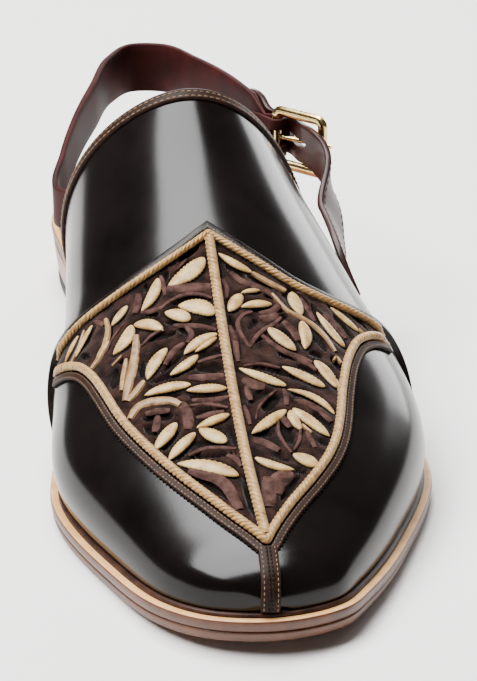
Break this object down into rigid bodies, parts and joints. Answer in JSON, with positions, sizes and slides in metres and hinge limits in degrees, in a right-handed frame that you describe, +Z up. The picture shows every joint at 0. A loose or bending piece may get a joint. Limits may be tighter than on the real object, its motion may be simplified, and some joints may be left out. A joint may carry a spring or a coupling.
{
  "type": "peshawari sandal",
  "caption": "Left closed-toe leather sandal with an inlaid leaf panel edged in twisted cord, a welted leather sole, a low heel and a buckled strap round the heel.",
  "frame": {"origin": "middle of the heel's tread, on the floor", "axes": "+Z up, -Y toward the toe, +X toward the outer side of the left foot"},
  "size_m": [0.1121, 0.3, 0.0952],
  "materials": {
    "upper_leather": "high gloss, near-black dark brown",
    "binding_leather": "satin, stitched",
    "panel_leather": "matt, reddish brown",
    "gold_cord": "twisted cord, soft sheen",
    "strap_leather": "satin, reddish brown",
    "welt_leather": "natural veg-tanned, burnished",
    "sole_leather": "burnished edge",
    "heel_stack": "stacked and burnished",
    "heel_rubber": "matt",
    "insole_leather": "satin lining leather",
    "buckle_brass": "polished"
  },
  "bodies": {
    "root": {"upper": "upper_leather", "collar_binding": "binding_leather", "toe_edge": "binding_leather", "instep_edge": "binding_leather", "toe_seam": "binding_leather", "leaf_panel": "panel_leather", "toe_cord": "gold_cord", "instep_cord": "gold_cord", "spine_cord": "gold_cord", "sling_strap": "strap_leather", "buckle_strap": "strap_leather", "buckle_frame": "buckle_brass", "buckle_prong": "buckle_brass", "welt": "welt_leather", "outsole": "sole_leather", "heel_block": "heel_stack", "heel_cap": "heel_rubber", "insole": "insole_leather"}
  },
  "joints": []
}
